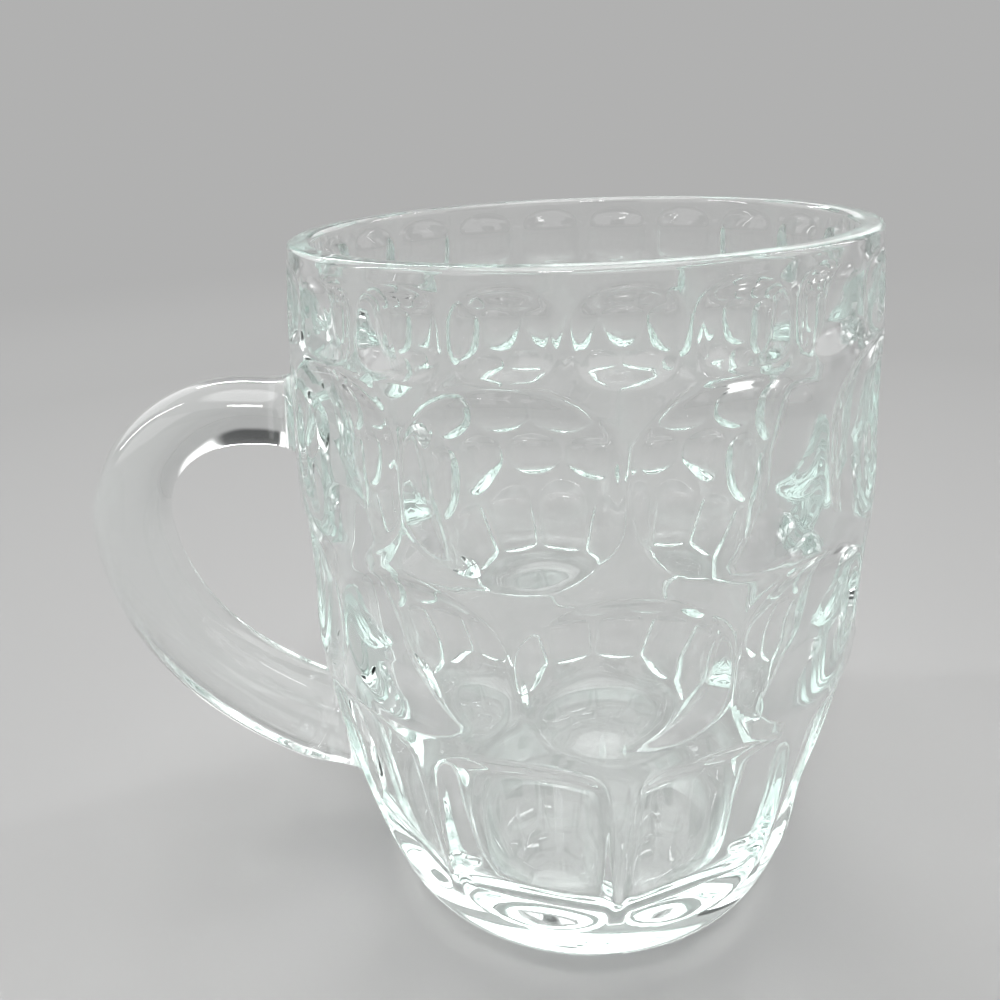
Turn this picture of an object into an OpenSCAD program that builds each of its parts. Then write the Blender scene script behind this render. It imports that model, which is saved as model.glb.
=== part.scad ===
// Dimpled glass beer mug. A pressed glass bowl has four rows of hollows in its outside wall, and a
// solid glass handle is stuck to it at an upper and a lower root.
// Millimetres, +Z up. The origin is the middle of the base, on the plane that the mug rests on,
// and the handle points along -X.

/* [Bowl outside] */
// Height of the lip
mug_h = 125; // [115:1:135]
// Diameter at the lip
rim_d = 92; // [88:1:96]
// Diameter at the widest height
belly_d = 99.4; // [98:0.2:104]
// Height at which the bowl is widest
belly_z = 68; // [60:1:76]
// Diameter at the height where the wall meets the rounded heel
heel_d = 84.6; // [80:0.2:88]
// Height at which that diameter is measured
heel_z = 15; // [13:0.5:18]
// Radius of the rounded heel
heel_round = 13; // [10:0.5:15]
// Radius of the shallow hollow under the base
recess_r = 24; // [18:0.5:26]
// Depth of the hollow under the base
recess_depth = 1.5; // [0.8:0.1:3]

/* [Bowl inside] */
// Wall at the lip
rim_wall = 3.8; // [3:0.1:5]
// Radius of the rounding along both edges of the lip, between which its top is flat
lip_round = 1; // [0.5:0.1:1.4]
// Wall at the belly, between the hollows. It keeps the inside narrower there than at the lip.
belly_wall = 9; // [8:0.1:10]
// Wall at the height of the heel
heel_wall = 7; // [5:0.1:9]
// Glass between the table and the floor of the bowl
floor_h = 11; // [9:0.5:18]
// Radius between the floor and the wall
floor_round = 14; // [8:0.5:18]

/* [Hollows] */
// Hollows in a row of ovals, and tall panels in the row below them
oval_count = 10; // [8:1:12]
// Rounded squares in the row under the lip
square_count = 20; // [16:1:24]
// Middle height of the rounded squares
square_z = 116.8; // [114:0.2:118]
// Height of a rounded square
square_h = 11; // [9:0.2:11.4]
// Depth of a rounded square
square_depth = 1.5; // [0.9:0.05:2]
// Radius of the rounding round the edge of a rounded square
square_edge_r = 6; // [4:0.5:10]
// Sideways radius of a rounded square
square_side_r = 24; // [18:1:60]
// Middle height of the upper row of ovals
upper_z = 97.6; // [94:0.2:100]
// Height of an oval in the upper row
upper_h = 27.4; // [22:0.2:30]
// Middle height of the middle row of ovals
middle_z = 70.4; // [66:0.2:74]
// Height of an oval in the middle row
middle_h = 26.8; // [22:0.2:30]
// Depth of an oval
oval_depth = 3.8; // [2.8:0.1:4.2]
// Radius of the rounding over the top and bottom edge of an oval
oval_edge_r = 20; // [14:1:30]
// Sideways radius of an oval
oval_side_r = 80; // [50:5:200]
// Middle height of the tall panels
panel_z = 35.6; // [34:0.2:40]
// Height of a tall panel
panel_h = 42.2; // [34:0.2:44]
// Depth of a tall panel
panel_depth = 3.4; // [2.4:0.1:4]
// Radius of the rounding over the top and bottom edge of a tall panel
panel_edge_r = 9.5; // [7:0.5:16]
// Sideways radius of a tall panel
panel_side_r = 60; // [40:5:200]

/* [Handle] */
// Height at which the handle's middle line leaves the bowl
handle_z = 96; // [92:0.2:100]
// Angle at which it rises as it leaves
handle_rise = 4; // [0:1:10]
// Straight stretch before the shoulder
handle_start = 8.9; // [5:0.1:12]
// Radius of the shoulder, on the middle line
shoulder_r = 21.8; // [18:0.1:26]
// Angle through which the shoulder turns
shoulder_turn = 95; // [88:0.5:100]
// Radius of the grip below the shoulder
grip_r = 44; // [36:0.5:50]
// Angle through which the grip turns
grip_turn = 42; // [36:0.5:48]
// Radius of the last stretch, down to the lower root
foot_r = 67; // [50:1:90]
// Angle through which the last stretch turns
foot_turn = 26; // [20:0.5:32]
// Thickness of the handle at its upper root, in the plane of the handle
root_t = 11.2; // [9:0.1:13]
// Thickness at its lower root
foot_t = 17.6; // [14:0.1:19]
// Width of the handle at its upper root
root_w = 15; // [12:0.2:18]
// Width at its lower root
foot_w = 18.4; // [14:0.2:20]
// How far the upper root flares out where it joins the bowl, all round
root_flare = 2.4; // [1:0.2:4]
// How far the lower root flares out
foot_flare = 1.2; // [0.4:0.2:3]
// Length along the handle over which a root flares
flare_len = 5; // [3:0.5:10]

/* [Detail] */
// Segments in a full circle of the preview
$fn = 96; // [48:8:192]
// Sides of the handle's section
handle_sides = 24; // [16:2:32]
// Rings along the handle
handle_rings = 46; // [30:1:60]

/* [Hidden] */
glass_colour = [0.80, 0.88, 0.86];
handle_colour = [0.76, 0.86, 0.84];
// How far a cut runs past the face that it leaves
overrun = 3;
full_turn = 360;
half_turn = full_turn / 2;
// Azimuth of the handle, which is also the azimuth of the hollow left out behind each root
handle_azimuth = half_turn;

// Radius of an arc that is upright at one end, with its other end dr nearer the axis and dz away.
// It is negative where the other end is further out, and the arc is then a waist, not a bulge.
function arc_radius(dr, dz) = (dr * dr + dz * dz) / (2 * dr);

// A barrel is an upper and a lower arc that meet upright at the belly, and a rounded heel:
// [lip radius, lip height, belly radius, belly height, heel radius, heel height, rounding, base]
function upper_arc(b) = arc_radius(b[2] - b[0], b[1] - b[3]);
function lower_arc(b) = arc_radius(b[2] - b[4], b[3] - b[5]);
function heel_centre(b) =
    b[2] - lower_arc(b)
    + sign(lower_arc(b)) * sqrt(pow(lower_arc(b) - b[6], 2) - pow(b[3] - b[7] - b[6], 2));
function heel_tangent_z(b) =
    b[7] + b[6] - b[6] * (b[3] - b[7] - b[6]) / (lower_arc(b) - b[6]);
// Radius of the arc that a barrel has at height z, and the barrel's own radius and slope there
function arc_at(b, z) = z > b[3] ? upper_arc(b) : lower_arc(b);
function barrel_r(b, z) =
    b[2] - arc_at(b, z) + sign(arc_at(b, z)) * sqrt(pow(arc_at(b, z), 2) - pow(z - b[3], 2));
function barrel_tilt(b, z) = asin((z - b[3]) / arc_at(b, z));

lip_r = min(lip_round, rim_wall / 2);
outside = [rim_d / 2, mug_h, belly_d / 2, belly_z, heel_d / 2, heel_z, heel_round, 0];
lip_z = mug_h - lip_r;
inside = [
    barrel_r(outside, lip_z) - rim_wall, lip_z, belly_d / 2 - belly_wall, belly_z,
    heel_d / 2 - heel_wall, max(heel_z, floor_h + heel_wall / 2), floor_round, floor_h
];
// Radius of the sphere that hollows the underside
recess_sphere_r = (recess_r * recess_r + recess_depth * recess_depth) / (2 * recess_depth);

// Half of a barrel's section between two heights, out to one of its arcs
module arc_band(b, arc, low, high) {
    if (arc > 0)
        intersection() {
            translate([b[2] - arc, b[3]])
                circle(arc, $fn = $fn * 4);
            translate([0, low])
                square([b[2] + overrun, high - low]);
        }
    if (arc < 0)
        difference() {
            translate([0, low])
                square([b[2] - arc, high - low]);
            translate([b[2] - arc, b[3]])
                circle(-arc, $fn = $fn * 4);
        }
}

// Half of a barrel's section, from the axis out, up to height top
module barrel_section(b, top) {
    arc_band(b, upper_arc(b), b[3], top);
    arc_band(b, lower_arc(b), heel_tangent_z(b), b[3]);
    intersection() {
        translate([heel_centre(b), b[7] + b[6]])
            circle(b[6]);
        translate([heel_centre(b), b[7]])
            square([b[6], heel_tangent_z(b) - b[7]]);
    }
    translate([0, b[7]])
        square([heel_centre(b), heel_tangent_z(b) - b[7]]);
}

// The bowl turned smooth, before its hollows are pressed
module smooth_bowl() {
    rotate_extrude()
        difference() {
            barrel_section(outside, lip_z);
            barrel_section(inside, mug_h);
            translate([0, recess_depth - recess_sphere_r])
                intersection() {
                    circle(recess_sphere_r, $fn = $fn * 4);
                    square(recess_sphere_r);
                }
        }
    rotate_extrude()
        translate([barrel_r(outside, lip_z) - rim_wall, lip_z])
            lip_section();
}

// Section of the lip: its two rounded edges, and what stands between them
module lip_section() {
    for (x = [lip_r, rim_wall - lip_r])
        translate([x, 0])
            circle(lip_r);
    if (rim_wall > 2 * lip_r)
        translate([lip_r, -lip_r])
            square([rim_wall - 2 * lip_r, 2 * lip_r]);
}

// A hollow is the trace of a wheel with a rounded edge, whose axis stands outside the bowl and
// leans with the wall. side_r is the wheel's radius and reach is half the width that it cuts.
module hollow(z, azimuth, height, depth, edge_r, side_r, reach) {
    sector = 2 * asin((reach + overrun) / side_r);
    flat_half = max(0, height / 2 - sqrt(2 * edge_r * depth - depth * depth));
    rotate([0, 0, azimuth])
        translate([barrel_r(outside, z), 0, z])
            rotate([0, -barrel_tilt(outside, z), 0])
                translate([side_r - depth, 0, 0])
                    rotate([0, 0, half_turn - sector / 2])
                        rotate_extrude(angle = sector, $fn = $fn * 4)
                            wheel_edge(side_r, edge_r, flat_half, depth + overrun);
}

// Section of the wheel's edge, thick along the radius
module wheel_edge(side_r, edge_r, flat_half, thick) {
    intersection() {
        union() {
            for (side = flat_half > 0 ? [-1, 1] : [1])
                translate([side_r - edge_r, side * flat_half])
                    circle(edge_r);
            if (flat_half > 0)
                translate([side_r - edge_r, -flat_half])
                    square([edge_r, 2 * flat_half]);
        }
        translate([side_r - thick, -flat_half - edge_r])
            square([thick + overrun, 2 * (flat_half + edge_r)]);
    }
}

// Half the width of one place in a row
function half_pitch(z, count) = barrel_r(outside, z) * sin(half_turn / count);

module oval_row(z, height, turn, first) {
    step = full_turn / oval_count;
    for (i = [first : oval_count - 1])
        hollow(z, handle_azimuth + (i + turn) * step, height, oval_depth, oval_edge_r,
            oval_side_r, half_pitch(z, oval_count));
}

module panel_row() {
    for (i = [1 : oval_count - 1])
        hollow(panel_z, handle_azimuth + i * full_turn / oval_count, panel_h, panel_depth,
            panel_edge_r, panel_side_r, half_pitch(panel_z, oval_count));
}

module square_row() {
    for (i = [0 : square_count - 1])
        hollow(square_z, handle_azimuth + i * full_turn / square_count, square_h, square_depth,
            square_edge_r, square_side_r, half_pitch(square_z, square_count));
}

// The place behind each root of the handle is left smooth in the upper ovals and in the panels
module bowl() {
    color(glass_colour)
        difference() {
            difference() {
                difference() {
                    difference() {
                        smooth_bowl();
                        square_row();
                    }
                    oval_row(upper_z, upper_h, 0, 1);
                }
                oval_row(middle_z, middle_h, 1 / 2, 0);
            }
            panel_row();
        }
}

// Middle line of the handle in its own plane, as [distance out, height, heading]. The heading is
// measured downwards from straight out. Both ends run on into the bowl, where they are cut off.
function line_end(p, length) =
    [p[0] + length * cos(p[2]), p[1] - length * sin(p[2]), p[2]];
function arc_end(p, r, turn) =
    [p[0] - r * sin(p[2]) + r * sin(p[2] + turn), p[1] - r * cos(p[2]) + r * cos(p[2] + turn),
     p[2] + turn];
function arc_len(r, turn) = r * turn * PI / half_turn;
function arc_turn(r, length) = length * half_turn / (PI * r);

root_start = line_end([barrel_r(outside, handle_z), handle_z, -handle_rise], -root_t);
shoulder_start = line_end(root_start, root_t + handle_start);
grip_start = arc_end(shoulder_start, shoulder_r, shoulder_turn);
foot_start = arc_end(grip_start, grip_r, grip_turn);
foot_end = arc_end(foot_start, foot_r, foot_turn);
// Distance along the middle line at which each stretch begins
shoulder_s = root_t + handle_start;
grip_s = shoulder_s + arc_len(shoulder_r, shoulder_turn);
foot_s = grip_s + arc_len(grip_r, grip_turn);
tail_s = foot_s + arc_len(foot_r, foot_turn);
handle_len = tail_s + foot_t;
function handle_point(s) =
    s < shoulder_s ? line_end(root_start, s)
    : s < grip_s ? arc_end(shoulder_start, shoulder_r, arc_turn(shoulder_r, s - shoulder_s))
    : s < foot_s ? arc_end(grip_start, grip_r, arc_turn(grip_r, s - grip_s))
    : s < tail_s ? arc_end(foot_start, foot_r, arc_turn(foot_r, s - foot_s))
    : line_end(foot_end, s - tail_s);

// The handle swells from its upper to its lower root, and a root flares out close to the bowl
swell_power = 1.6;
function swell(a, b, u) = a + (b - a) * pow(min(u, 1), swell_power);
function flare_at(near, size) =
    near > flare_len ? 0 : size * pow(1 - max(near, 0) / flare_len, 2);
function flare(s) = flare_at(s - root_t, root_flare) + flare_at(tail_s - s, foot_flare);

// A ring of the handle: an oval with slightly square shoulders, drawn square to the middle line
oval_power = 0.9;
function signed_pow(v, p) = sign(v) * pow(abs(v), p);
function handle_ring(s) =
    let (
        p = handle_point(s),
        u = s / tail_s,
        half_t = swell(root_t, foot_t, u) / 2 + flare(s),
        half_w = swell(root_w, foot_w, u) / 2 + flare(s)
    )
    [for (i = [0 : handle_sides - 1])
        let (
            a = full_turn * i / handle_sides,
            across = half_t * signed_pow(cos(a), oval_power),
            aside = half_w * signed_pow(sin(a), oval_power)
        )
        [-(p[0] + across * sin(p[2])), aside, p[1] + across * cos(p[2])]];

function ring_faces(rings, sides) = [
    for (j = [0 : rings - 2], i = [0 : sides - 1])
        let (a = j * sides + i, b = j * sides + (i + 1) % sides)
        each [[a, b, b + sides], [a, b + sides, a + sides]]
];

module handle() {
    points = [for (j = [0 : handle_rings - 1]) each handle_ring(handle_len * j / (handle_rings - 1))];
    last = (handle_rings - 1) * handle_sides;
    color(handle_colour)
        difference() {
            polyhedron(points, concat(
                [[for (i = [handle_sides - 1 : -1 : 0]) i]],
                ring_faces(handle_rings, handle_sides),
                [[for (i = [0 : handle_sides - 1]) last + i]]
            ));
            rotate_extrude()
                barrel_section(outside, lip_z);
        }
}

bowl();
handle();
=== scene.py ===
import bpy
import numpy as np
from mathutils import Matrix, Vector


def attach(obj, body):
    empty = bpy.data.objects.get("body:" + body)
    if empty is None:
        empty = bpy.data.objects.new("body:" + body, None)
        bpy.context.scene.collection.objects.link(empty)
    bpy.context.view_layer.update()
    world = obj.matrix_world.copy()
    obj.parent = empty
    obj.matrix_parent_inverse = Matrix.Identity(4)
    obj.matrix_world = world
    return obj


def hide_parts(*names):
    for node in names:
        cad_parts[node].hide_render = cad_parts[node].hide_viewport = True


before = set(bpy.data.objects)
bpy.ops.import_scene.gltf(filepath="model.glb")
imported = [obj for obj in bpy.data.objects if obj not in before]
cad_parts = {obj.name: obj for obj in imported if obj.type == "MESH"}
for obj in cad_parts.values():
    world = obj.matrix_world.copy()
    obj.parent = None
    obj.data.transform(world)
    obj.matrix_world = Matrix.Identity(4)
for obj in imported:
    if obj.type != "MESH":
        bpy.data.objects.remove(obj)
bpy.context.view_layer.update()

fullTurn = 2 * np.pi


# shader helpers

# one wrapped shader value: arithmetic on it adds Math nodes to its tree
class Wire:
    def __init__(self, shade, socket):
        self.shade = shade
        self.socket = socket

    def math(self, operation, *values):
        return self.shade.add("ShaderNodeMath", {"operation": operation}, *values)

    def __add__(self, other):
        return self.math("ADD", self, other)

    def __radd__(self, other):
        return self.math("ADD", other, self)

    def __sub__(self, other):
        return self.math("SUBTRACT", self, other)

    def __rsub__(self, other):
        return self.math("SUBTRACT", other, self)

    def __mul__(self, other):
        return self.math("MULTIPLY", self, other)

    def __rmul__(self, other):
        return self.math("MULTIPLY", other, self)

    def __truediv__(self, other):
        return self.math("DIVIDE", self, other)

    def __rtruediv__(self, other):
        return self.math("DIVIDE", other, self)

    def __pow__(self, other):
        return self.math("POWER", self, other)

    def __lt__(self, other):
        return self.math("LESS_THAN", self, other)

    def __gt__(self, other):
        return self.math("GREATER_THAN", self, other)


# the node tree of one material or world
class Shade:
    def __init__(self, owner):
        owner.use_nodes = True
        self.tree = owner.node_tree
        self.tree.nodes.clear()

    # adds a node: settings first, then its inputs by place, or by name with _ for a space
    def add(self, kind, settings=None, *values, output=0, **named):
        node = self.tree.nodes.new(kind)
        for name, value in (settings or {}).items():
            if name == "stops":
                self.setStops(node.color_ramp.elements, value)
            else:
                setattr(node, name, value)
        for place, value in enumerate(values):
            self.feed(node.inputs[place], value)
        for name, value in named.items():
            self.feed(node.inputs[name.replace("_", " ")], value)
        return Wire(self, node.outputs[output]) if len(node.outputs) else None

    # adds a node and gives all its outputs by name
    def outputs(self, kind, *values):
        node = self.add(kind, None, *values).socket.node
        return {socket.name: Wire(self, socket) for socket in node.outputs}

    # the share of the way from one value to another, from 0 to 1 unless told otherwise
    def share(self, value, start, end, low=0, high=1, soft=True):
        settings = {"interpolation_type": "SMOOTHSTEP"} if soft else None
        return self.add("ShaderNodeMapRange", settings, value, start, end, low, high)

    def setStops(self, elements, stops):
        while len(elements) < len(stops):
            elements.new(1)
        for element, (at, colour) in zip(list(elements), stops):
            element.position = at
            element.color = colour

    def feed(self, socket, value):
        if isinstance(value, Wire):
            self.tree.links.new(value.socket, socket)
        else:
            socket.default_value = value


# mesh helpers

# puts points and faces into a smooth mesh of its own object
def addMesh(name, points, faces):
    mesh = bpy.data.meshes.new(name)
    mesh.from_pydata(points, [], faces)
    mesh.polygons.foreach_set("use_smooth", np.ones(len(mesh.polygons), bool))
    mesh.update()
    piece = bpy.data.objects.new(name, mesh)
    bpy.context.scene.collection.objects.link(piece)
    return piece


# four-sided faces between closed rings of points that follow a first single point: corner
# number = 1 + ring * columns + column
def ringQuads(count, columns):
    start = 1 + np.arange(count - 1)[:, None] * columns
    first = start + np.arange(columns)
    beside = start + (np.arange(columns) + 1) % columns
    return np.stack([first, beside, beside + columns, first + columns], -1).reshape(-1, 4)


# turns rows of points (rows x columns x 3) into a closed mesh: each row is a closed loop, and a
# single point closes each pole with a fan
def latheMesh(name, rows, poleStart, poleEnd):
    count, columns = rows.shape[:2]
    points = np.concatenate([[poleStart], rows.reshape(-1, 3), [poleEnd]])
    ring = np.arange(columns)
    turned = (ring + 1) % columns
    lastRing = 1 + (count - 1) * columns
    startFan = np.stack([np.zeros(columns, int), turned + 1, ring + 1], -1)
    endFan = np.stack([np.full(columns, len(points) - 1), lastRing + ring, lastRing + turned], -1)
    faces = ringQuads(count, columns).tolist() + startFan.tolist() + endFan.tolist()
    return addMesh(name, points, faces)


# bowl

bowl = {
    "height": 0.125,
    "rimRadius": 0.046,
    "bellyRadius": 0.0497,
    "bellyHeight": 0.068,
    "heelRadius": 0.0423,
    "heelHeight": 0.015,
    "heelRound": 0.013,
    "recessRadius": 0.024,
    "recessDepth": 0.0015,
    "rimWall": 0.0038,
    "lipRound": 0.001,
    "bellyWall": 0.009,
    "heelWall": 0.007,
    "floorHeight": 0.011,
    "floorRound": 0.014,
    "ridgeSoftness": 0.0004,  # how far the edge of a hollow is melted round
    "uncut": 0.01,  # how far a hollow may seem to stay off the skin where it doesn't reach it
    "columns": 480,
    "recessRows": 8,
    "heelRows": 14,
    "wallRows": 135,
    "lipRows": 8,
    "lipTopRows": 3,
    "innerRows": 16,
    "floorRoundRows": 11,
    "floorRows": 5,
}

# each row of hollows: how many, turned by how many places, middle height, height, depth, the
# rounding of its upper and lower edge, its sideways radius, half the width that has only that
# radius, the rounding beyond, and whether the one behind the handle is left out
hollows = [
    {"count": 20, "turn": 0, "z": 0.1168, "height": 0.011, "depth": 0.0015,
     "edge": 0.006, "side": 0.024, "flat": 0.0045, "corner": 0.006, "skip": False},
    {"count": 10, "turn": 0, "z": 0.0976, "height": 0.0274, "depth": 0.0038,
     "edge": 0.02, "side": 0.08, "flat": 0.012, "corner": 0.02, "skip": True},
    {"count": 10, "turn": 0.5, "z": 0.0704, "height": 0.0268, "depth": 0.0038,
     "edge": 0.02, "side": 0.08, "flat": 0.012, "corner": 0.02, "skip": False},
    {"count": 10, "turn": 0, "z": 0.0356, "height": 0.0422, "depth": 0.0034,
     "edge": 0.0095, "side": 0.15, "flat": 0.0103, "corner": 0.0065, "skip": True},
]

# how a hollow is reached for: the steps towards it, and how much of each rounding is followed
reaching = {
    "steps": 3,
    "ofEdge": 0.98,
    "ofSide": 0.9,
}


# radius of the arc that leads dr sideways over a height dz: (dr^2 + dz^2) / (2 * dr)
def arcRadius(dr, dz):
    return (dr * dr + dz * dz) / (2 * dr)


lipRadius = bowl["lipRound"]
lipHeight = bowl["height"] - lipRadius


# a barrel: an upper and a lower arc that meet upright at the belly, and a rounded heel below. A
# negative arc is a waist: the wall stands further out at its far end
def makeBarrel(topRadius, topHeight, bellyRadius, heelRadius, heelHeight, heelRound, base):
    belly = bowl["bellyHeight"]
    upper = arcRadius(bellyRadius - topRadius, topHeight - belly)
    lower = arcRadius(bellyRadius - heelRadius, belly - heelHeight)
    drop = belly - base - heelRound
    centre = bellyRadius - lower + np.sqrt((lower - heelRound) ** 2 - drop ** 2)
    tangent = base + heelRound - heelRound * drop / (lower - heelRound)
    return {"radius": bellyRadius, "upper": upper, "lower": lower, "centre": centre,
            "round": heelRound, "tangent": tangent, "base": base}


# radius of a barrel at height z: belly - arc +- sqrt(arc^2 - (z - bellyHeight)^2), with the sign
# of the arc, and below the tangent height the heel's circle
def barrelRadius(barrel, z):
    z = np.asarray(z, float)
    rise = z - bowl["bellyHeight"]
    arc = np.where(rise > 0, barrel["upper"], barrel["lower"])
    wall = barrel["radius"] - arc + np.sign(arc) * np.sqrt(arc ** 2 - rise ** 2)
    under = np.clip(barrel["base"] + barrel["round"] - z, 0, barrel["round"])
    heel = barrel["centre"] + np.sqrt(barrel["round"] ** 2 - under ** 2)
    return np.where(z < barrel["tangent"], heel, wall)


# the angle through which a barrel's heel turns from its flat ring or floor up to its wall
def heelTurn(barrel):
    return np.arccos((barrel["base"] + barrel["round"] - barrel["tangent"]) / barrel["round"])


# radius and height of a heel at angles turn: centre + round * sin, base + round * (1 - cos)
def heelLine(barrel, turn):
    return (barrel["centre"] + barrel["round"] * np.sin(turn),
            barrel["base"] + barrel["round"] * (1 - np.cos(turn)))


outside = makeBarrel(bowl["rimRadius"], bowl["height"], bowl["bellyRadius"],
                     bowl["heelRadius"], bowl["heelHeight"], bowl["heelRound"], 0)
lipOuter = float(barrelRadius(outside, lipHeight))
lipInner = lipOuter - bowl["rimWall"]
inside = makeBarrel(lipInner, lipHeight, bowl["bellyRadius"] - bowl["bellyWall"],
                    bowl["heelRadius"] - bowl["heelWall"],
                    max(bowl["heelHeight"], bowl["floorHeight"] + bowl["heelWall"] / 2),
                    bowl["floorRound"], bowl["floorHeight"])


# how far a circle of radius r has fallen away at a distance d from its top: r - sqrt(r^2 - d^2)
def sag(r, d):
    return r - np.sqrt(r ** 2 - d ** 2)


# how deep one hollow cuts at azimuth angle from its middle and height z: the distance along the
# radius from radius r to the edge of a round-edged wheel that leans with the wall
def cutDepth(row, angle, z, r):
    above = row["z"] - bowl["bellyHeight"]
    lean = np.arcsin(above / (outside["upper"] if above > 0 else outside["lower"]))
    middle = float(barrelRadius(outside, row["z"]))
    depth = row["depth"]
    edge = row["edge"]
    flat = max(0.0, row["height"] / 2 - np.sqrt(2 * edge * depth - depth * depth))
    reached = np.zeros_like(r)
    for step in range(reaching["steps"]):
        now = r - reached
        out = now * np.cos(angle) - middle
        x = out * np.cos(lean) + (z - row["z"]) * np.sin(lean)
        up = (z - row["z"]) * np.cos(lean) - out * np.sin(lean)
        past = np.clip(np.abs(up) - flat, 0, edge * reaching["ofEdge"])
        aside = np.clip(np.abs(now * np.sin(angle)), 0, row["side"] * reaching["ofSide"])
        beside = np.clip(aside - row["flat"], 0, row["corner"] * reaching["ofEdge"])
        face = sag(row["side"], aside) + sag(edge, past) + sag(row["corner"], beside) - depth
        reached = reached + (x - face) / (np.cos(lean) * np.cos(angle))
    return np.clip(reached, -bowl["uncut"], bowl["uncut"])


# the larger of two values with the corner between them rounded over softness s
def softMax(a, b, s):
    h = np.clip(0.5 + 0.5 * (a - b) / s, 0, 1)
    return b + (a - b) * h + s * h * (1 - h)


# outside radius of the bowl over grids of azimuth and height: the barrel less the deepest cut
def outerSkin(azimuth, z):
    r = barrelRadius(outside, z)
    deepest = np.zeros_like(r)
    for row in hollows:
        pitch = fullTurn / row["count"]
        place = (azimuth - np.pi) / pitch - row["turn"]
        nearest = np.round(place)
        for shift in (-1, 0, 1):
            which = nearest + shift
            cut = cutDepth(row, (place - which) * pitch, z, r)
            if row["skip"]:
                cut = np.where(np.mod(which, row["count"]) == 0, -bowl["uncut"], cut)
            deepest = softMax(deepest, cut, bowl["ridgeSoftness"])
    return r - deepest


# the bowl's skin, from the middle of its underside round the lip to the middle of its floor
def buildBowl():
    columns = bowl["columns"]
    azimuth = np.arange(columns) / columns * fullTurn
    # underside: the shallow hollow, a dome of radius arcRadius from its depth to its rim
    dome = arcRadius(bowl["recessDepth"], bowl["recessRadius"])
    recessR = np.linspace(0, bowl["recessRadius"], bowl["recessRows"] + 1)[1:]
    recessZ = bowl["recessDepth"] - sag(dome, recessR)
    # heel: part of a circle from the ring that the mug rests on up to the wall
    heelR, heelZ = heelLine(outside, np.linspace(0, heelTurn(outside), bowl["heelRows"]))
    wallZ = np.linspace(outside["tangent"], lipHeight, bowl["wallRows"] + 1)[1:]
    # lip: a quarter circle, a flat top and another quarter circle, down to the inside
    turn = np.linspace(0, np.pi / 2, bowl["lipRows"])
    top = np.linspace(lipOuter - lipRadius, lipInner + lipRadius, bowl["lipTopRows"] + 2)[1:-1]
    lipR = np.concatenate([lipOuter - lipRadius + lipRadius * np.cos(turn[1:]), top,
                           lipInner + lipRadius - lipRadius * np.sin(turn)])
    lipZ = lipHeight + lipRadius * np.concatenate([np.sin(turn[1:]), np.ones(len(top)),
                                                   np.cos(turn)])
    innerZ = np.linspace(lipHeight, inside["tangent"], bowl["innerRows"] + 1)[1:]
    innerR = barrelRadius(inside, innerZ)
    floorTurn = np.linspace(heelTurn(inside), 0, bowl["floorRoundRows"] + 1)[1:]
    roundR, roundZ = heelLine(inside, floorTurn)
    floorR = np.linspace(inside["centre"], 0, bowl["floorRows"] + 2)[1:-1]
    floorZ = np.full(len(floorR), inside["base"])

    grid, wallGrid = np.meshgrid(azimuth, wallZ)
    ones = np.ones(columns)
    radius = np.concatenate([
        np.outer(np.concatenate([recessR, heelR]), ones), outerSkin(grid, wallGrid),
        np.outer(np.concatenate([lipR, innerR, roundR, floorR]), ones)])
    rise = np.concatenate([
        np.outer(np.concatenate([recessZ, heelZ]), ones), wallGrid,
        np.outer(np.concatenate([lipZ, innerZ, roundZ, floorZ]), ones)])
    rows = np.stack([radius * np.cos(azimuth), radius * np.sin(azimuth), rise], -1)
    piece = latheMesh("glassBowl", rows, (0, 0, bowl["recessDepth"]), (0, 0, inside["base"]))
    print("bowl: " + str(rows.shape[0]) + " rows of " + str(columns))
    return piece


# handle

handle = {
    "rootHeight": 0.096,
    "rise": np.radians(4),
    "start": 0.0089,
    "shoulderRadius": 0.0218,
    "shoulderTurn": np.radians(95),
    "gripRadius": 0.044,
    "gripTurn": np.radians(42),
    "footRadius": 0.067,
    "footTurn": np.radians(26),
    "rootThick": 0.0112,
    "footThick": 0.0176,
    "rootWide": 0.015,
    "footWide": 0.0184,
    "swell": 1.6,
    "squareness": 0.9,  # 1 is an oval, less has fuller corners
    "rootFlare": 0.002,
    "footFlare": 0.0012,
    "flareLength": 0.005,
    "flarePull": 0.9,  # how strongly the flare's curves keep their direction at both ends
    "flareAlong": 0.85,  # how they land: along the bowl's skin, and into it
    "flareInward": 0.35,
    "sink": 0.0004,  # how far each end is let into the bowl's skin
    "plugSteps": (1, 0.8, 0.6, 0.4, 0.2),  # rings that close each end inside the skin
    "sides": 96,
    "rings": 170,
    "flareRings": 12,
}

# how the meeting of handle and bowl is looked for along the middle line
meeting = {
    "sides": 64,
    "reach": 0.03,
    "steps": 241,
}


# middle line at distances s: x out, z up and the heading below level. Straight out, then three
# arcs: each turns its centre p - r*(sin h, cos h) through s / r
def handleLine(s):
    s = np.asarray(s, float)
    turned = -handle["rise"]
    done = handle["start"]
    way = np.array([np.cos(turned), -np.sin(turned)])
    root = np.array([float(barrelRadius(outside, handle["rootHeight"])), handle["rootHeight"]])
    point = root + done * way
    x = root[0] + s * way[0]
    z = root[1] + s * way[1]
    heading = np.full_like(s, turned)
    for name in ("shoulder", "grip", "foot"):
        r = handle[name + "Radius"]
        inArc = s - done > 0
        now = turned + (s - done) / r
        x = np.where(inArc, point[0] - r * np.sin(turned) + r * np.sin(now), x)
        z = np.where(inArc, point[1] - r * np.cos(turned) + r * np.cos(now), z)
        heading = np.where(inArc, now, heading)
        after = turned + handle[name + "Turn"]
        point = point + r * np.array([np.sin(after) - np.sin(turned),
                                      np.cos(after) - np.cos(turned)])
        turned = after
        done = done + r * handle[name + "Turn"]
    return x, z, heading, done


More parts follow.
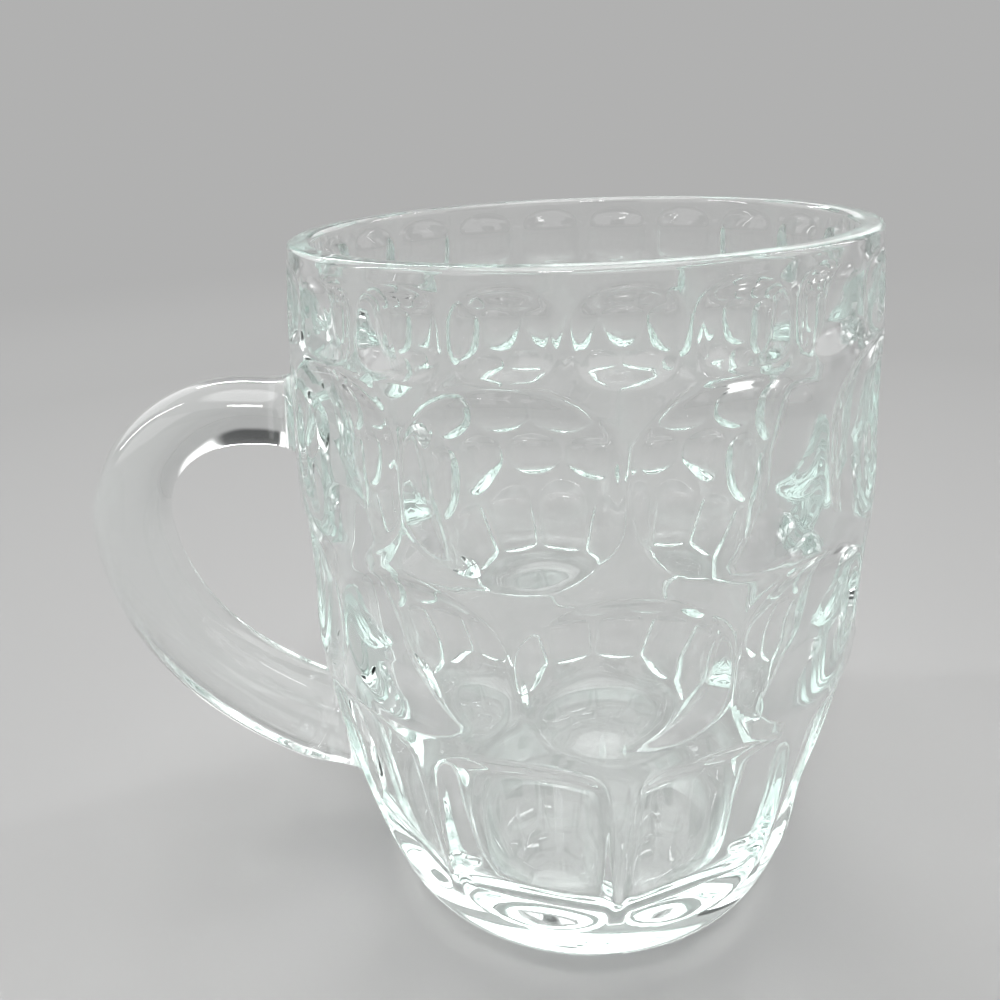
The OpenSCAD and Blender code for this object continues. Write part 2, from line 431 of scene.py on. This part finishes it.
# rings of the handle at distances s: each an oval of half thickness t across the middle line, in
# its plane, and half width w aside, with corners filled by a power under 1
def handleRings(s, around):
    x, z, heading, length = handleLine(s)
    share = np.clip(s / length, 0, 1) ** handle["swell"]
    t = (handle["rootThick"] + (handle["footThick"] - handle["rootThick"]) * share) / 2
    w = (handle["rootWide"] + (handle["footWide"] - handle["rootWide"]) * share) / 2
    fill = handle["squareness"]
    across = t[:, None] * np.sign(np.cos(around)) * np.abs(np.cos(around)) ** fill
    aside = w[:, None] * np.sign(np.sin(around)) * np.abs(np.sin(around)) ** fill
    out = x[:, None] + across * np.sin(heading)[:, None]
    up = z[:, None] + across * np.cos(heading)[:, None]
    return np.stack([-out, aside, up], -1), heading


# the oval in which a root meets the bowl's skin: centre height, half height and half width
def footprint(s, flare):
    around = np.linspace(0, fullTurn, meeting["sides"], endpoint=False)
    distance = np.linspace(s - meeting["reach"], s + meeting["reach"], meeting["steps"])
    rings = handleRings(distance, around)[0]
    gap = np.hypot(rings[..., 0], rings[..., 1]) - barrelRadius(outside, rings[..., 2])
    meet = rings[np.abs(gap).argmin(0), np.arange(meeting["sides"])]
    low, high = meet[:, 2].min(), meet[:, 2].max()
    return {"z": (low + high) / 2, "halfHeight": (high - low) / 2 + flare,
            "halfWidth": np.abs(meet[:, 1]).max() + flare}


# the points on the bowl's barrel, let in by sink, at distance y aside and height z
def onBarrel(y, z, sink):
    r = barrelRadius(outside, z) - sink
    return np.stack([-np.sqrt(r ** 2 - y ** 2), y, z], -1)


# a root: from a ring of the handle to its oval on the bowl's skin along cubic curves that leave
# the ring along the handle and land nearly flat on the skin, and a plug that closes its end: the
# oval let into the skin, then shrunk in rings to its middle
def rootRings(ring, direction, oval, side, around):
    dz = oval["halfHeight"] * np.cos(around) * side
    dy = oval["halfWidth"] * np.sin(around)
    z = oval["z"] + dz
    landed = onBarrel(dy, z, 0)
    spread = np.stack([np.zeros_like(dy), dy, dz], -1)
    spread = spread / np.linalg.norm(spread, axis=1)[:, None]
    inward = -landed * [1, 1, 0] / barrelRadius(outside, z)[:, None]
    reach = np.linalg.norm(landed - ring, axis=1)[:, None] * handle["flarePull"]
    startPull = direction * reach
    endPull = (spread * handle["flareAlong"] + inward * handle["flareInward"]) * reach
    u = np.linspace(0, 1, handle["flareRings"] + 1)[1:, None, None]
    rows = ((2 * u ** 3 - 3 * u ** 2 + 1) * ring + (u ** 3 - 2 * u ** 2 + u) * startPull
            + (3 * u ** 2 - 2 * u ** 3) * landed + (u ** 3 - u ** 2) * endPull)
    shrink = np.array(handle["plugSteps"])[:, None]
    plug = onBarrel(dy * shrink, oval["z"] + dz * shrink, handle["sink"])
    pole = (-(float(barrelRadius(outside, oval["z"])) - handle["sink"]), 0, oval["z"])
    return rows, plug, pole


def buildHandle():
    around = np.arange(handle["sides"]) / handle["sides"] * fullTurn
    length = handleLine(np.zeros(1))[3]
    top = footprint(0, handle["rootFlare"])
    low = footprint(length, handle["footFlare"])
    first = handle["flareLength"]
    last = length - handle["flareLength"] - handle["footThick"] / 4
    tube, heading = handleRings(np.linspace(first, last, handle["rings"]), around)
    start = np.array([np.cos(heading[0]), 0, np.sin(heading[0])])
    end = np.array([-np.cos(heading[-1]), 0, -np.sin(heading[-1])])
    topRows, topPlug, topPole = rootRings(tube[0], start, top, 1, around)
    lowRows, lowPlug, lowPole = rootRings(tube[-1], end, low, -1, around)
    rows = np.concatenate([topPlug[::-1], topRows[::-1], tube, lowRows, lowPlug])
    # the seam attribute is 1 on the plugs, which lie inside the bowl's skin
    hidden = np.zeros(rows.shape[:2])
    hidden[:len(topPlug)] = 1
    hidden[-len(lowPlug):] = 1
    seam = np.concatenate([[1], hidden.reshape(-1), [1]])
    piece = latheMesh("glassHandle", rows, topPole, lowPole)
    attribute = piece.data.attributes.new("seam", "FLOAT", "POINT")
    attribute.data.foreach_set("value", seam.astype(np.float32))
    print("handle: " + str(len(rows)) + " rings, roots at " + str(round(top["z"], 4))
          + " and " + str(round(low["z"], 4)))
    return piece, [top, low]


# glass

glass = {
    "ior": 1.51,
    "tint": (0.996, 1.0, 0.998, 1),
    "absorb": (0.44, 0.88, 0.74, 1),
    "absorbDensity": 2.0,
    "waveScale": 90.0,  # long soft waves left by the mould
    "waveDetail": 1.0,
    "waveHeight": 0.00004,
    "smudge": 0.08,  # gloss lost where fingers and cloth have left smears, which is in patches
    "smearScale": 45.0,
    "smearDetail": 3.0,
    "smearTwist": 1.5,
    "smearFrom": 0.56,
    "smearBlend": 0.2,
    "bowlPlace": 0.0,  # where in the waves and smears each piece lies
    "handlePlace": 3.0,
    "seamSide": -0.03,  # the roots' ovals lie beyond this x
    "seamFrom": 0.001,
}


# pressed glass: clear, faintly green in its depth, softly waved, with finger smudges in the
# gloss. The parts of the skin under a root are open glass, so the two pieces look melted together
def glassMaterial(name, seamMask, seed):
    material = bpy.data.materials.new(name)
    shade = Shade(material)
    place = shade.add("ShaderNodeTexCoord", output=3)
    moved = shade.add("ShaderNodeMapping", None, place, (seed, seed * 2.0, 0))
    waves = shade.add("ShaderNodeTexNoise", None, moved, Scale=glass["waveScale"],
                      Detail=glass["waveDetail"])
    smears = shade.add("ShaderNodeTexNoise", None, moved, Scale=glass["smearScale"],
                       Detail=glass["smearDetail"], Distortion=glass["smearTwist"])
    smearTo = glass["smearFrom"] + glass["smearBlend"]
    smudge = shade.share(smears, glass["smearFrom"], smearTo, soft=False)
    bump = shade.add("ShaderNodeBump", None, Strength=1.0, Distance=glass["waveHeight"],
                     Height=waves)
    body = shade.add("ShaderNodeBsdfPrincipled", None, Base_Color=glass["tint"],
                     Roughness=smudge * glass["smudge"], IOR=glass["ior"],
                     Transmission_Weight=1.0, Normal=bump)
    clear = shade.add("ShaderNodeBsdfTransparent", None, (1, 1, 1, 1))
    skin = shade.add("ShaderNodeMixShader", None, seamMask(shade, place), body, clear)
    depth = shade.add("ShaderNodeVolumeAbsorption", None, glass["absorb"],
                      glass["absorbDensity"])
    shade.add("ShaderNodeOutputMaterial", None, skin, depth)
    print("glass: " + name)
    return material


# 1 inside the ovals where the handle's roots sit on the bowl, from object coordinates
def ovalMask(ovals):
    def mask(shade, place):
        parts = shade.outputs("ShaderNodeSeparateXYZ", place)
        total = None
        for oval in ovals:
            across = parts["Y"] / oval["halfWidth"]
            up = (parts["Z"] - oval["z"]) / oval["halfHeight"]
            inOval = ((across * across + up * up) < 1) * (parts["X"] < glass["seamSide"])
            total = inOval if total is None else total + inOval
        return total
    return mask


# 1 on the handle's plugs, from its seam attribute
def attributeMask(shade, place):
    seam = shade.add("ShaderNodeAttribute", {"attribute_name": "seam"}, output=2)
    return seam > glass["seamFrom"]


# studio

cove = {
    "radius": 1.5,
    "curve": 0.45,
    "height": 1.3,
    "level": -0.0002,  # a hair under the mug, so that no two faces lie in one plane
    "floorRings": [0.2, 0.5],
    "curveRows": 24,
    "columns": 96,
    "roughness": 0.9,
    "near": (0.46, 0.46, 0.457, 1),  # painted pool of light: the floor's paint is palest round the mug and darker away from it
    "far": (0.36, 0.36, 0.358, 1),
    "nearTo": 0.08,  # distances from the mug over which the painted pool of light fades to the darker paint
    "paintedPoolFadeTo": 0.45,
    "backdrop": (0.44, 0.44, 0.438, 1),  # what the cove shows beyond the floor
    "backdropFrom": 0.45,
    "backdropTo": 0.95,
}

# glowing screens with dark gaps painted round the room into the backdrop's emission, which only
# glass finds above the backdrop: painted reflections and refractions of light in the glass
screens = {
    "count": 5,
    "turn": 0.6,
    "tone": (1.7, 1.7, 1.7, 1),
    "gapTone": (0.08, 0.081, 0.082, 1),
    "gapTo": -0.55,  # values of the wave between which a gap turns to a screen
    "screenFrom": -0.05,
    "lowTo": 0.26,  # heights between which the backdrop turns to screens and gaps
    "highFrom": 0.44,
}

sky = {
    "glassExtra": 0.7,  # how much brighter it is for glass, as a wide room light would be
    "gap": 0.2,  # the dim ring between the cove and the overhead light
    "light": 3.5,
    "edge": 0.86,  # sine of the elevation at which the overhead light begins
    "edgeBlend": 0.08,
}

lamps = {
    "frontBox": {"place": (-0.25, -0.85, 1.1), "size": (0.24, 0.18), "power": 3.0},
    "leftStrip": {"place": (-1.0, 0.1, 0.75), "size": (0.05, 0.8), "power": 2.6},
    "rightStrip": {"place": (0.95, 0.35, 0.8), "size": (0.05, 0.8), "power": 2.2},
    "backStrip": {"place": (-0.3, 1.0, 0.7), "size": (0.6, 0.05), "power": 2.0},
}
lampAim = (0, 0, 0.06)

# the photograph's viewpoint, in metres and degrees, found from the outline of the round bowl
photoView = {
    "focal": 0.868,  # focal length as a share of the picture's width
    "sensor": 36,
    "nearest": 0.01,
    "distance": 0.1468,
    "height": 0.1405,
    "pitch": 23.6,
    "roll": -2.75,
    "yaw": -5.67,
    "azimuth": -7.2,
}


# which rays look: straight from the camera, mirrored or bent by glass, and whether they come from
# the camera without touching the floor first
def lightPath(shade):
    rays = shade.outputs("ShaderNodeLightPath")
    return (rays["Is Camera Ray"], rays["Is Glossy Ray"], rays["Is Transmission Ray"],
            rays["Diffuse Depth"] < 0.5)


# paint for the floor, with a painted pool of light round the mug, which turns into a glowing
# backdrop further out for all rays that look
def coveMaterial():
    material = bpy.data.materials.new("covePaint")
    shade = Shade(material)
    place = shade.add("ShaderNodeTexCoord", output=3)
    parts = shade.outputs("ShaderNodeSeparateXYZ", place)
    x, y, z = parts["X"], parts["Y"], parts["Z"]
    away = (x * x + y * y) ** 0.5
    far = shade.share(away, cove["backdropFrom"], cove["backdropTo"])
    straight, mirrored, bent, fresh = lightPath(shade)
    looks = straight + mirrored + bent
    seen = looks.math("MINIMUM", looks, 1)
    # the wave round the room is the cosine of its azimuth times the number of screens
    angle = y.math("ARCTAN2", y, x) * screens["count"] + screens["turn"]
    wave = angle.math("COSINE", angle)
    screen = shade.share(wave, screens["gapTo"], screens["screenFrom"], -0.5, 0.5)
    high = shade.share(z, screens["lowTo"], screens["highFrom"])
    # painted light: the screens glow and the gaps darken in the backdrop's emission, seen only by
    # rays that glass has mirrored or bent
    stops = [(0, screens["gapTone"]), (0.5, cove["backdrop"]), (1, screens["tone"])]
    tone = shade.add("ShaderNodeValToRGB", {"stops": stops},
                     0.5 + high * screen * fresh * (1 - straight))
    # painted pool of light: the floor's base colour is palest round the mug and darker further
    # out, as a lamp's falloff would make it
    stops = [(cove["nearTo"], cove["near"]), (cove["paintedPoolFadeTo"], cove["far"])]
    paintedPool = shade.add("ShaderNodeValToRGB", {"stops": stops}, away)
    paint = shade.add("ShaderNodeBsdfPrincipled", None, Base_Color=paintedPool,
                      Roughness=cove["roughness"])
    glow = shade.add("ShaderNodeEmission", None, tone, 1.0)
    mixed = shade.add("ShaderNodeMixShader", None, far * seen, paint, glow)
    shade.add("ShaderNodeOutputMaterial", None, mixed)
    return material


# a round cove: a flat floor that curves up through a quarter circle into a wall all round, so
# that every view ends in it
def buildCove():
    columns = cove["columns"]
    turn = np.linspace(0, np.pi / 2, cove["curveRows"])
    bend = cove["radius"] - cove["curve"] + cove["curve"] * np.sin(turn)
    r = np.concatenate([cove["floorRings"], bend, [cove["radius"]]])
    z = np.concatenate([np.zeros(len(cove["floorRings"])), cove["curve"] * (1 - np.cos(turn)),
                        [cove["height"]]]) + cove["level"]
    azimuth = np.arange(columns) / columns * fullTurn
    rows = np.stack([np.outer(r, np.cos(azimuth)), np.outer(r, np.sin(azimuth)),
                     np.outer(z, np.ones(columns))], -1)
    points = np.concatenate([[[0, 0, cove["level"]]], rows.reshape(-1, 3)])
    ring = np.arange(columns)
    fan = np.stack([np.zeros(columns, int), 1 + ring, 1 + (ring + 1) % columns], -1)
    upward = ringQuads(len(r), columns)[:, [0, 3, 2, 1]]
    piece = addMesh("cove", points, fan.tolist() + upward.tolist())
    piece.data.materials.append(coveMaterial())
    print("cove: " + str(len(r)) + " rings")
    return piece


def addLamp(name, place, size, power):
    lamp = bpy.data.lights.new(name, "AREA")
    lamp.shape = "RECTANGLE"
    lamp.size, lamp.size_y = size
    lamp.energy = power
    holder = bpy.data.objects.new(name, lamp)
    bpy.context.scene.collection.objects.link(holder)
    holder.location = place
    aim = Vector(lampAim) - Vector(place)
    holder.rotation_euler = aim.to_track_quat("-Z", "Y").to_euler()


# the overhead light, a plain backdrop for the camera, and a little more of both for glass
def setWorld():
    world = bpy.data.worlds.new("studioSky")
    bpy.context.scene.world = world
    shade = Shade(world)
    way = shade.add("ShaderNodeTexCoord", output=0)
    parts = shade.outputs("ShaderNodeSeparateXYZ", way)
    light = shade.share(parts["Z"], sky["edge"], sky["edge"] + sky["edgeBlend"],
                        sky["gap"], sky["light"])
    straight, mirrored, bent, fresh = lightPath(shade)
    seen = (light * (1 - straight) + straight * cove["backdrop"][0]
            + (mirrored + bent) * fresh * sky["glassExtra"])
    glow = shade.add("ShaderNodeBackground", None, (1, 1, 1, 1), seen)
    shade.add("ShaderNodeOutputWorld", None, glow)


# the camera looks from the photograph's place: heading yaw and pitch, then a roll about its line
def setCamera():
    turns = ("azimuth", "pitch", "yaw", "roll")
    azimuth, pitch, yaw, roll = [np.radians(photoView[name]) for name in turns]
    forward = np.array([np.sin(yaw) * np.cos(pitch), np.cos(yaw) * np.cos(pitch),
                        -np.sin(pitch)])
    right = np.cross(forward, [0, 0, 1])
    right = right / np.linalg.norm(right)
    up = np.cross(right, forward)
    rolledRight = np.cos(roll) * right + np.sin(roll) * up
    rolledUp = -np.sin(roll) * right + np.cos(roll) * up
    spin = np.array([[np.cos(azimuth), -np.sin(azimuth), 0],
                     [np.sin(azimuth), np.cos(azimuth), 0], [0, 0, 1]])
    stand = np.eye(4)
    stand[:3, :3] = np.stack([spin @ rolledRight, spin @ rolledUp, -(spin @ forward)], 1)
    stand[:3, 3] = spin @ np.array([0, -photoView["distance"], photoView["height"]])
    lens = bpy.data.cameras.new("photoCamera")
    lens.sensor_width = photoView["sensor"]
    lens.lens = photoView["focal"] * photoView["sensor"]
    lens.clip_start = photoView["nearest"]
    camera = bpy.data.objects.new("photoCamera", lens)
    bpy.context.scene.collection.objects.link(camera)
    camera.matrix_world = Matrix(stand.tolist())
    bpy.context.scene.camera = camera


setCamera()
glassBowl = buildBowl()
glassHandle, roots = buildHandle()
glassBowl.data.materials.append(
    glassMaterial("bowlGlass", ovalMask(roots), glass["bowlPlace"]))
glassHandle.data.materials.append(
    glassMaterial("handleGlass", attributeMask, glass["handlePlace"]))
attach(glassBowl, "root")
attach(glassHandle, "root")
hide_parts("bowl")
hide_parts("handle")

buildCove()
setWorld()
for name, lamp in lamps.items():
    addLamp(name, **lamp)
print("studio: " + str(len(lamps)) + " lamps")
cycles = bpy.context.scene.cycles  # light crosses many glass walls before it reaches the eye
cycles.max_bounces, cycles.transmission_bounces, cycles.glossy_bounces = 24, 24, 16
cycles.blur_glossy = 0.0  # and it falls on the floor under the mug as sharply as it came
bpy.context.scene.view_settings.view_transform = "Standard"
